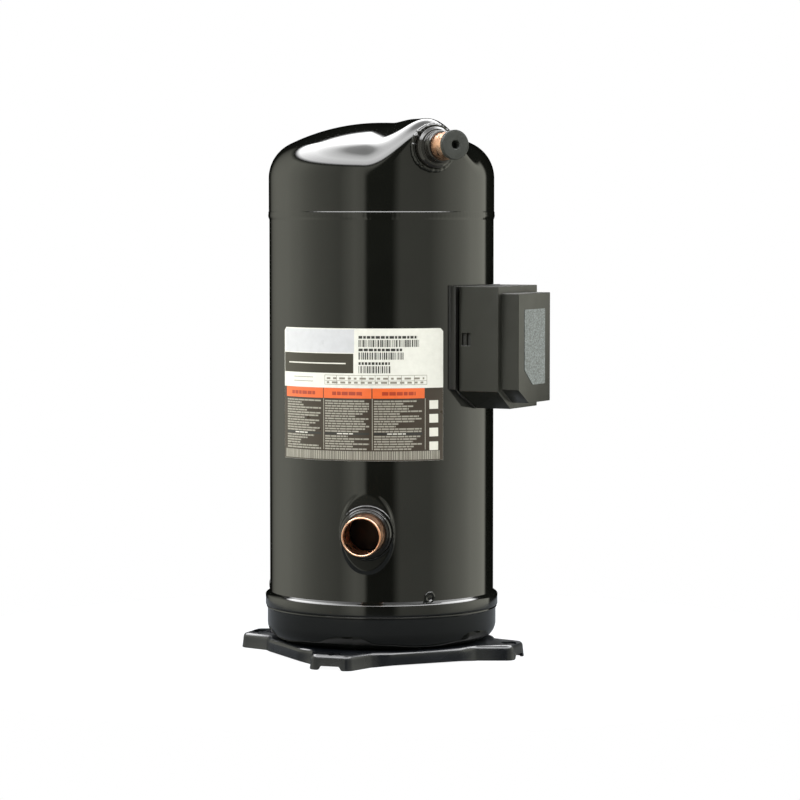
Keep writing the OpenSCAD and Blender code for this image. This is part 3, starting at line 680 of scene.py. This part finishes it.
def bead(path, radius, name, slot, replaced=(), ripples=0, depth=0.0):
    """A weld bead: a round section swept along a closed path, rippled along its length."""
    n, sides = len(path), 12
    rows = []
    for i, p in enumerate(path):
        ahead = (path[(i + 1) % n] - path[i - 1]).normalized()
        side = ahead.cross(Vector((0, 0, 1)))
        side = side.normalized() if side.length > 1e-6 else Vector((1, 0, 0))
        up = side.cross(ahead)
        t = 2 * math.pi * i / n
        wave = math.sin(ripples * t) + 0.8 * math.sin(1.7 * ripples * t + 2.0) + math.sin(5 * t + 1.3)
        r = radius + depth * wave
        rows.append([p + side * (r * math.cos(w)) + up * (r * math.sin(w))
                     for w in [2 * math.pi * k / sides for k in range(sides)]])
    return piece(name, grid(rows, closed_v=True), MATERIALS[slot], "shell", replaced, sharp=0)


def make_fitting_welds():
    frame_d = discharge_frame()
    path = []
    for k in range(360):
        t = 2 * math.pi * k / 360
        y, z = 0.0212 * math.cos(t), 0.0212 * math.sin(t)
        x = -(CAP_R - math.sqrt(CAP_R ** 2 - y * y)) + 0.0008
        path.append(frame_d @ Vector((x, y, z)))
    bead(path, 0.0031, "discharge_weld", "shell_paint", ("fitting_welds",), 17, 0.00016)
    frame_s = suction_frame()
    ring = [frame_s @ Vector((TUBE_R + 0.0006, 0.0257 * math.cos(t), 0.0257 * math.sin(t)))
            for t in [2 * math.pi * k / 240 for k in range(240)]]
    bead(ring, 0.0017, "suction_weld", "shell_paint", (), 15, 0.00006)


PLUG_Z = (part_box("plug_welds")[0].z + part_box("plug_welds")[1].z) / 2


def plug_outline(t, r, x):
    """A filled weld is never quite round."""
    return r * (1 + 0.06 * math.sin(2 * t) + 0.03 * math.sin(7 * t + 1))


def make_plug_welds():
    """Three filled plug welds in a ring near the foot, each a slightly sunken spiral button."""
    verts, faces = [], []
    for k in range(3):
        frame_w = axis_frame((0, 0, PLUG_Z), outward(120 * k))
        profile = fillet([(0, TUBE_R - 0.003), (0.0055, TUBE_R - 0.003), (0.0057, TUBE_R + 0.0007),
                          (0.0042, TUBE_R + 0.0013), (0.0026, TUBE_R + 0.0004), (0, TUBE_R + 0.0009)],
                         0.0005, keep=(0, 5))
        part = turned(profile, frame_w, 40, plug_outline)
        faces += [[i + len(verts) for i in f] for f in part[1]]
        verts += part[0]
    piece("plug_weld_buttons", (verts, faces), MATERIALS["shell_paint"], "shell",
          ("plug_welds",))


# ---------------------------------------------------------------- base plate

FOOT_CORNER = (0.1365, 0.014)
FOOT_CORNER_R = 0.008
FOOT_CORNER_A = 70.7
SIDE_MID = 0.108
SIDE_DIP = 0.1015
SIDE_FLAT = 0.034
SIDE_END = 0.058
SHEET = 0.0035
BEND = 0.0045
FLARED = 0.0012            # the flange leans out this much at the feet
ARCH_HALF = 0.0105          # half the width of the low arch under each foot end
ARCH_H = 0.004              # its height above the floor
HOLE_R = MOUNTS["base_bolts"]["dims"]["hole_r_mm"] * MM
HOLE_PITCH = MOUNTS["base_bolts"]["dims"]["spacing_x_mm"] * MM


def spin(p, degrees):
    a = math.radians(degrees)
    return (p[0] * math.cos(a) - p[1] * math.sin(a), p[0] * math.sin(a) + p[1] * math.cos(a))


def side_x(s):
    """Distance of a side at position s along it: straight, but drawn in beside the feet."""
    t = max(0.0, abs(s) - SIDE_FLAT) / (SIDE_END - SIDE_FLAT)
    return SIDE_DIP + (SIDE_MID - SIDE_DIP) * (0.5 + 0.5 * math.cos(math.pi * t))


def arch_lift(v):
    """Height of the flange's lower edge at v across a foot end."""
    return smoothstep((ARCH_HALF + 0.002 - abs(v)) / 0.003) * ARCH_H


def base_outline(inset, lean):
    """Points round the plate as (x, y, lower edge): inset inwards, leaning out at the feet."""
    out = []
    for k in range(4):
        for i in range(-20, 21):
            s = SIDE_END * i / 20
            near_foot = smoothstep((abs(s) - SIDE_FLAT) / (SIDE_END - SIDE_FLAT))
            x = side_x(s) - inset + lean * near_foot
            out.append((*spin((x, s), 90 * k), 0.0015 * (1 - near_foot)))
        r = FOOT_CORNER_R - inset + lean
        for sign in (-1, 1):
            start = -FOOT_CORNER_A if sign < 0 else 0.0
            for i in range(0, 11):
                a = math.radians(start + FOOT_CORNER_A * i / 10)
                v = sign * FOOT_CORNER[1] + r * math.sin(a)
                q = (FOOT_CORNER[0] + r * math.cos(a), v)
                out.append((*spin(q, 90 * k + 45), arch_lift(v)))
            if sign < 0:
                for i in range(1, 24):
                    v = FOOT_CORNER[1] * (-1 + 2 * i / 24)
                    q = (FOOT_CORNER[0] + r, v)
                    out.append((*spin(q, 90 * k + 45), arch_lift(v)))
    return out


def base_row(inset, share, rise, lean):
    """One ring of the pressing: share of the flange's height, or rise above the bend's start."""
    row = []
    for x, y, low in base_outline(inset, lean):
        shoulder = PLATE_TOP - BEND
        z = low + (shoulder - low) * share + rise
        row.append(Vector((x, y, z)))
    return row


def make_base_plate():
    """The pressed plate: flat top, rounded shoulder, and a flange with an arch under each foot end."""
    rim = 0.0006
    outer = [base_row(rim, 0.0, 0.0, FLARED), base_row(0.0, 0.05, 0.0, FLARED),
             base_row(0.0, 0.35, 0.0, FLARED * 0.6), base_row(0.0, 0.7, 0.0, FLARED * 0.22),
             base_row(0.0, 1.0, 0.0, 0.0)]
    for k in range(1, 7):
        t = math.pi / 2 * k / 6
        outer.append(base_row(BEND * (1 - math.cos(t)), 1.0, BEND * math.sin(t), 0.0))
    inner = [base_row(SHEET - rim, 0.0, 0.0, FLARED), base_row(SHEET, 0.35, 0.0, FLARED * 0.6),
             base_row(SHEET, 1.0, 0.0, 0.0), base_row(SHEET + 0.0008, 1.0, BEND - SHEET, 0.0)]
    rows = list(reversed(inner)) + outer
    verts, faces = grid(rows)
    n = len(rows[0])
    last = (len(rows) - 1) * n
    faces.append(list(range(n)))
    faces.append([last + k for k in range(n)])
    obj = piece("base_plate_pressing", (verts, faces), MATERIALS["base_paint"], "shell",
                ("base_plate",), sharp=0)
    for x in (-1, 1):
        for y in (-1, 1):
            floor_z = PLATE_TOP - SHEET - 0.001
            hole = [(0, floor_z), (HOLE_R, floor_z), (HOLE_R, 0.03), (0, 0.03)]
            lift = upright_frame()
            lift.translation = Vector((x * HOLE_PITCH / 2, y * HOLE_PITCH / 2, 0))
            carved(obj, turned(hole, lift, 64))
    obj.data.set_sharp_from_angle(angle=math.radians(40))
    return obj


# ---------------------------------------------------------------- connections

def make_suction():
    frame_s = suction_frame()
    collar = fillet([(0.0175, 0.099), (0.0202, 0.099), (0.0202, 0.1122), (0.0250, 0.1122),
                     (0.0250, 0.1195), (0.0238, 0.1215), (0.0221, 0.1215), (0.0220, 0.126),
                     (0.0193, 0.126), (0.0193, 0.108), (0.0175, 0.108)], 0.0007)
    piece("suction_collar", turned(collar, frame_s, 160), MATERIALS["fitting_steel"], "shell",
          ("suction_fitting",))
    axis = outward(SUCTION_AZ)
    tip = max(Vector(v.co).dot(axis) for v in frame["nodes"]["suction_stub"].data.vertices)
    tube = fillet([(0.0175, 0.1081), (0.01915, 0.1081), (0.01915, tip), (0.0175, tip)], 0.0007, 6)
    piece("suction_copper", turned(tube, frame_s, 160), MATERIALS["copper_tube"], "shell",
          ("suction_stub",))


STUB_END = 0.0405


def make_discharge():
    frame_d = discharge_frame()
    collar = fillet([(0.01285, -0.012), (0.020, -0.012), (0.020, 0.0065), (0.0178, 0.0088),
                     (0.0156, 0.0092), (0.0156, 0.019), (0.0147, 0.020), (0.01285, 0.020)], 0.0008)
    piece("discharge_collar", turned(collar, frame_d, 128), MATERIALS["fitting_steel"], "shell",
          ("discharge_fitting",))
    tube = fillet([(0.01115, -0.016), (0.0128, -0.016), (0.0128, 0.0202), (0.0133, 0.0203),
                   (0.0133, STUB_END), (0.01115, STUB_END)], 0.0005)
    piece("discharge_copper", turned(tube, frame_d, 128), MATERIALS["copper_tube"], "shell",
          ("discharge_stub",))
    plug = fillet([(0, 0.027), (0.0102, 0.027), (0.01107, 0.029), (0.01107, STUB_END + 0.0003),
                   (0.01435, STUB_END + 0.0003), (0.01435, STUB_END + 0.0057),
                   (0.0042, STUB_END + 0.0057), (0.0036, STUB_END - 0.005),
                   (0, STUB_END - 0.005)], 0.0009, 5, keep=(0, 8))
    piece("discharge_rubber_plug", turned(plug, frame_d, 128), MATERIALS["plug_rubber"],
          "discharge_plug_body", ("discharge_plug",))


# ---------------------------------------------------------------- terminal box

def make_terminal_box():
    refined("terminal_box_cover", MATERIALS["box_plastic"], 0.0012, "box_cover", 4)
    # The base flange gets the near-black copy of the box plastic: painted shade.
    refined("terminal_box_base", BOX_BASE_PAINTED_SHADE, 0.0008, "shell", 2)
    make_decal()


def make_decal():
    """A plain silver panel on the cover's face."""
    x0 = max(Vector(v.co).dot(outward(BOX_AZ)) for v in
             frame["nodes"]["terminal_box_cover"].data.vertices)
    lo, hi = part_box("cover_decal")
    half, low, high = 0.025, lo.z, hi.z
    outline = [(-half, low + 0.015), (-half + 0.02, low), (half, low), (half, high), (-half, high)]
    m = box_frame()

    def plate(points, a, b):
        n = len(points)
        verts = [m @ Vector((x, y, z)) for x in (a, b) for y, z in points]
        faces = [list(range(n)), [n + k for k in range(n)]]
        faces += [[k, (k + 1) % n, n + (k + 1) % n, n + k] for k in range(n)]
        return verts, faces

    rounded = [tuple(p) for p in fillet(outline, 0.0015, 4)]
    piece("cover_panel", plate(rounded, x0 + 0.00002, x0 + 0.0004), MATERIALS["decal_foil"],
          "box_cover", ("cover_decal",), sharp=20)


# ---------------------------------------------------------------- label

LABEL_R = TUBE_R + 0.00027
LABEL_AZ0 = LABEL_AZ - 45.0
LABEL_Z0, LABEL_Z1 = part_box("nameplate_label")[0].z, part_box("nameplate_label")[1].z
LABEL_LEN = math.radians(90) * LABEL_R / MM
INK_STEP = 0.00004


class Print:
    """Collects printed areas of one ink on the label. Lengths are in mm along the label and up."""

    def __init__(self):
        self.verts, self.faces = [], []

    def area(self, s0, s1, z0, z1, layer):
        r = LABEL_R + layer * INK_STEP
        n = max(1, math.ceil((s1 - s0) / 4.0))
        base = len(self.verts)
        for k in range(n + 1):
            s = s0 + (s1 - s0) * k / n
            a = outward(LABEL_AZ0 + math.degrees(s * MM / LABEL_R))
            for q in (r - INK_STEP * 0.6, r):
                for z in (z0, z1):
                    self.verts.append(a * q + Vector((0, 0, z * MM)))
        for k in range(n):
            i, j = base + 4 * k, base + 4 * k + 4
            for a, b in ((0, 1), (1, 3), (3, 2), (2, 0)):
                self.faces.append([i + a, i + b, j + b, j + a])
        self.faces.append([base, base + 1, base + 3, base + 2])
        end = base + 4 * n
        self.faces.append([end, end + 2, end + 3, end + 1])
        return self

    def done(self, name, ink):
        piece(name, (self.verts, self.faces), ink, "shell", (), sharp=30)


def make_label():
    """A generic data plate: blocks, bars and dashes that say nothing."""
    rng = random.Random(7)
    z1, z0, split = LABEL_Z1 / MM, LABEL_Z0 / MM, 271.8
    make_label_film(z0, z1)
    lavender, umber, brown = Print(), Print(), Print()
    orange, red, grey = Print(), Print(), Print()
    black, silver, white = Print(), Print(), Print()

    lavender.area(2.2, 86.6, 306.0, z1 - 0.9, 1)
    umber.area(0.6, 85.8, 286.2, 305.2, 1)
    white.area(8, 78, 295.0, 296.2, 2)

    # bar-code rows with a dash line above each
    for length, z in ((59.7, 311.8), (43.8, 299.6), (31.5, 286.4)):
        s = 91.0
        while s < 91.0 + length:
            w = rng.choice((0.5, 0.8, 1.3))
            black.area(s, min(s + w, 91.0 + length), z, z + 6.9, 1)
            s += w + rng.choice((0.5, 0.8, 1.1))
        dashes(rng, black, 91.0, 91.0 + length * 0.97, z + 8.1, 2.6, 1, (2.0, 4.5), 0.9)

    # two plain rules and an empty-looking table
    for z in (277.5, 281.5):
        grey.area(16, 42, z, z + 0.6, 1)
    for z in (275.0, 278.7, 284.0):
        grey.area(55.5, 158.5, z, z + 0.4, 1)
    for k in range(9):
        grey.area(55.5 + 103 * k / 8, 55.9 + 103 * k / 8, 275.0, 284.3, 1)
    for z in (276.2, 280.2):
        dashes(rng, grey, 58, 156, z, 1.9, 1, (2.5, 6.5), 3.0)

    # lower half: plain coloured heads, columns of dashes, plain blocks and a bar strip
    brown.area(0.1, LABEL_LEN - 0.1, z0 + 0.1, split, 1)
    columns = ((4.2, 53.5), (54.9, 103.4), (104.9, 156.0))
    for a, b in columns:
        orange.area(a - 0.3, b + 0.3, 261.8, split - 0.1, 2)
        dashes(rng, red, a + 9, b - 9, 264.8, 3.4, 3, (3.0, 7.0), 0.9)
    for s in (54.1, 104.1, 156.6):
        silver.area(s, s + 0.7, 211.8, 261.6, 2)
    pitch = 2.45
    for a, b in columns:
        for k in range(20):
            z = 258.4 - pitch * k
            if k == 13:
                black.area(a + 1, b - 2, z - 0.2, z + 1.9, 2)
                dashes(rng, white, a + 14, b - 18, z + 0.3, 1.1, 3, (3.0, 6.0), 0.8)
                continue
            end = b - 2 - (rng.random() ** 2) * (b - a) * 0.55
            dashes(rng, silver, a + 1.2, end, z, 1.45, 2, (2.2, 7.5), 0.55)
    for k in range(4):
        z = 255.4 - 13.4 * k
        white.area(161.4, 171.0, z - 4.2, z + 4.2, 2)
    s = 2.5
    while s < LABEL_LEN - 4:
        w = rng.choice((0.9, 1.4, 2.0))
        silver.area(s, min(s + w, LABEL_LEN - 3), z0 + 1.2, 210.5, 2)
        s += w + 0.55
    for name, ink in (("lavender", lavender), ("umber", umber), ("brown", brown), ("orange", orange),
                      ("red", red), ("grey", grey), ("black", black),
                      ("silver", silver), ("white", white)):
        ink.done("label_print_" + name, INK[name])


def dashes(rng, ink, s0, s1, z, height, layer, widths, gap):
    """A row of plain dashes of uneven length."""
    s = s0
    while s < s1:
        w = rng.uniform(*widths)
        ink.area(s, min(s + w, s1), z, z + height, layer)
        s += w + gap


def make_label_film(z0, z1):
    """The white film under all print, its two top corners rounded."""
    corner = 3.0
    n = 60
    rows_top = []
    for k in range(n + 1):
        s = LABEL_LEN * k / n
        edge = min(s, LABEL_LEN - s)
        drop = corner - math.sqrt(max(0, corner ** 2 - (corner - min(edge, corner)) ** 2))
        a = outward(LABEL_AZ0 + math.degrees(s * MM / LABEL_R))
        rows_top.append((a, z1 - drop))
    verts, faces = [], []
    for a, top in rows_top:
        for r in (LABEL_R - 0.0002, LABEL_R):
            for z in (z0, top):
                verts.append(a * r + Vector((0, 0, z * MM)))
    for k in range(n):
        i, j = 4 * k, 4 * k + 4
        for a, b in ((0, 1), (1, 3), (3, 2), (2, 0)):
            faces.append([i + a, i + b, j + b, j + a])
    faces.append([0, 1, 3, 2])
    end = 4 * n
    faces.append([end, end + 2, end + 3, end + 1])
    piece("label_sheet", (verts, faces), MATERIALS["label_film"], "shell",
          ("nameplate_label",), sharp=30)


# ---------------------------------------------------------------- studio

def camera_axes():
    toward = outward(AZ_CAMERA)
    a = math.radians(AZ_CAMERA)
    return toward, Vector((math.cos(a), math.sin(a), 0))


def make_camera():
    toward, right = camera_axes()
    data = bpy.data.cameras.new("camera")
    data.sensor_width = 36.0
    data.lens = LENS_PX / FRAME_PX * data.sensor_width
    data.clip_end = 50
    cam = bpy.data.objects.new("camera", data)
    bpy.context.scene.collection.objects.link(cam)
    pitch = math.radians(CAMERA_PITCH)
    look = -toward * math.cos(pitch) - Vector((0, 0, math.sin(pitch)))
    up = right.cross(look)
    cam.matrix_world = Matrix((right, up, -look)).transposed().to_4x4()
    cam.matrix_world.translation = (toward * CAMERA_DISTANCE + right * CAMERA_SHIFT
                                    + Vector((0, 0, CAMERA_HEIGHT)))
    bpy.context.scene.camera = cam


def ramp(tree, source, stops):
    """A colour ramp over 0 to 1; stops are (position, brightness or colour)."""
    made = tree.nodes.new("ShaderNodeValToRGB")
    tree.links.new(source, made.inputs["Fac"])
    items = made.color_ramp.elements
    while len(items) < len(stops):
        items.new(0.5)
    for item, (pos, value) in zip(items, stops):
        item.position = pos
        item.color = (*value, 1.0) if isinstance(value, tuple) else (value, value, value, 1.0)
    return made.outputs["Color"]


def math_node(tree, op, a, b=None):
    made = tree.nodes.new("ShaderNodeMath")
    made.operation = op
    for value, socket in ((a, made.inputs[0]), (b, made.inputs[1])):
        if value is None:
            continue
        if isinstance(value, (int, float)):
            socket.default_value = value
        else:
            tree.links.new(value, socket)
    return made.outputs[0]


SIDE_BOX = 2.0             # brightness of the side softboxes at full
SIDE_SOFT = 1.8            # how much stronger they are in soft light than in reflections
OVERHEAD_GLOSS = 13.0      # brightness of the overhead softbox in reflections
OVERHEAD_SOFT = 2.4        # and in soft light


def make_world():
    """Two broad side softboxes, a large one overhead and a dark gap at the camera."""
    world = bpy.data.worlds.new("studio")
    bpy.context.scene.world = world
    world.use_nodes = True
    tree = world.node_tree
    tree.nodes.clear()
    toward, right = camera_axes()
    direction = tree.nodes.new("ShaderNodeTexCoord").outputs["Generated"]

    def along(vector):
        made = tree.nodes.new("ShaderNodeVectorMath")
        made.operation = "DOT_PRODUCT"
        tree.links.new(direction, made.inputs[0])
        made.inputs[1].default_value = vector
        return made.outputs["Value"]

    side = math_node(tree, "ARCTAN2", along(right), along(toward))
    side01 = math_node(tree, "ADD", math_node(tree, "DIVIDE", side, 2 * math.pi), 0.5)
    rise = math_node(tree, "ARCSINE", along(Vector((0, 0, 1))))
    rise01 = math_node(tree, "ADD", math_node(tree, "DIVIDE", rise, math.pi), 0.5)

    def at(degrees):
        return degrees / 360 + 0.5

    def up(degrees):
        return degrees / 180 + 0.5

    stops = ((-180, 0.0), (-158, 0.0), (-150, 0.25), (-130, 0.8), (-110, 1.35), (-93, 1.45),
             (-67, 1.0), (-43, 0.75), (-27, 1.4), (-18, 1.2), (-14, 0.05), (11, 0.05), (19, 0.7),
             (51, 0.63), (75, 1.33), (104, 1.8), (123, 1.4), (131, 1.3), (136, 0.0), (180, 0.0))
    boxes = ramp(tree, side01, [(at(a), v / SIDE_BOX) for a, v in stops])
    height = ramp(tree, rise01, [(up(-90), 1.0), (up(29), 1.0), (up(33), 0.0), (up(90), 0.0)])
    ceiling = [(up(-90), 0.0), (up(34), 0.0), (up(38), 0.8), (up(50), 1.0)]
    ceiling += [(up(62), 0.7), (up(70), 0.3), (up(90), 0.2)]
    top = ramp(tree, rise01, ceiling)
    tint = (1.0, 1.0, 0.86)

    def scaled(color, factor):
        made = tree.nodes.new("ShaderNodeVectorMath")
        made.operation = "MULTIPLY"
        tree.links.new(color, made.inputs[0])
        if isinstance(factor, tuple):
            made.inputs[1].default_value = factor
        else:
            tree.links.new(factor, made.inputs[1])
        return made.outputs["Vector"]

    path = tree.nodes.new("ShaderNodeLightPath")
    fill = tree.nodes.new("ShaderNodeMapRange")
    fill.inputs["To Min"].default_value = SIDE_SOFT
    fill.inputs["To Max"].default_value = 1.0
    tree.links.new(path.outputs["Is Glossy Ray"], fill.inputs["Value"])
    walls = scaled(scaled(boxes, height), tuple(SIDE_BOX * c for c in tint))
    walls = scaled(walls, fill.outputs["Result"])
    strength = tree.nodes.new("ShaderNodeMapRange")
    strength.inputs["To Min"].default_value = OVERHEAD_SOFT
    strength.inputs["To Max"].default_value = OVERHEAD_GLOSS
    tree.links.new(path.outputs["Is Glossy Ray"], strength.inputs["Value"])
    sky = scaled(top, strength.outputs["Result"])
    total = tree.nodes.new("ShaderNodeVectorMath")
    total.operation = "ADD"
    tree.links.new(walls, total.inputs[0])
    tree.links.new(sky, total.inputs[1])
    studio = tree.nodes.new("ShaderNodeBackground")
    tree.links.new(total.outputs["Vector"], studio.inputs["Color"])
    backdrop = tree.nodes.new("ShaderNodeBackground")
    backdrop.inputs["Color"].default_value = (1.0, 1.0, 1.0, 1.0)
    seen = tree.nodes.new("ShaderNodeMixShader")
    tree.links.new(path.outputs["Is Camera Ray"], seen.inputs["Fac"])
    tree.links.new(studio.outputs["Background"], seen.inputs[1])
    tree.links.new(backdrop.outputs["Background"], seen.inputs[2])
    out = tree.nodes.new("ShaderNodeOutputWorld")
    tree.links.new(seen.outputs["Shader"], out.inputs["Surface"])


FLOOR_R = 0.5
FLOOR_GLOW = 0.93           # the paper's own light as the camera sees it
FLOOR_DIM = 0.04            # and as the shell reflects it


def make_floor():
    n = 96
    verts = [Vector((0, 0, 0))] + [Vector((FLOOR_R * math.cos(2 * math.pi * k / n),
                                           FLOOR_R * math.sin(2 * math.pi * k / n), 0))
                                   for k in range(n)]
    faces = [[0, 1 + k, 1 + (k + 1) % n] for k in range(n)]
    mesh = bpy.data.meshes.new("floor")
    mesh.from_pydata([tuple(v) for v in verts], [], faces)
    s = Shader("floor_paper", (0.12, 0.13, 0.145), 0.8, Specular_IOR_Level=0.05)
    s.vary_color(3, (0.11, 0.12, 0.135))
    path = s.node("ShaderNodeLightPath")
    s.set("Emission Color", (1.0, 1.0, 1.0, 1.0))
    glow = s.ranged(path.outputs["Is Camera Ray"], FLOOR_DIM, FLOOR_GLOW, 0.0, 1.0)
    s.link(glow, s.bsdf.inputs["Emission Strength"])
    mesh.materials.append(s.material)
    floor = bpy.data.objects.new("floor", mesh)
    bpy.context.scene.collection.objects.link(floor)


dress_cad_nodes()
make_camera()
make_world()
make_floor()
make_base_plate()
make_lower_cup()
make_shell_tube()
make_top_cap()
make_weld_beads()
make_fitting_welds()
make_plug_welds()
make_suction()
make_discharge()
make_terminal_box()
make_label()
bpy.context.scene.view_settings.view_transform = "Standard"
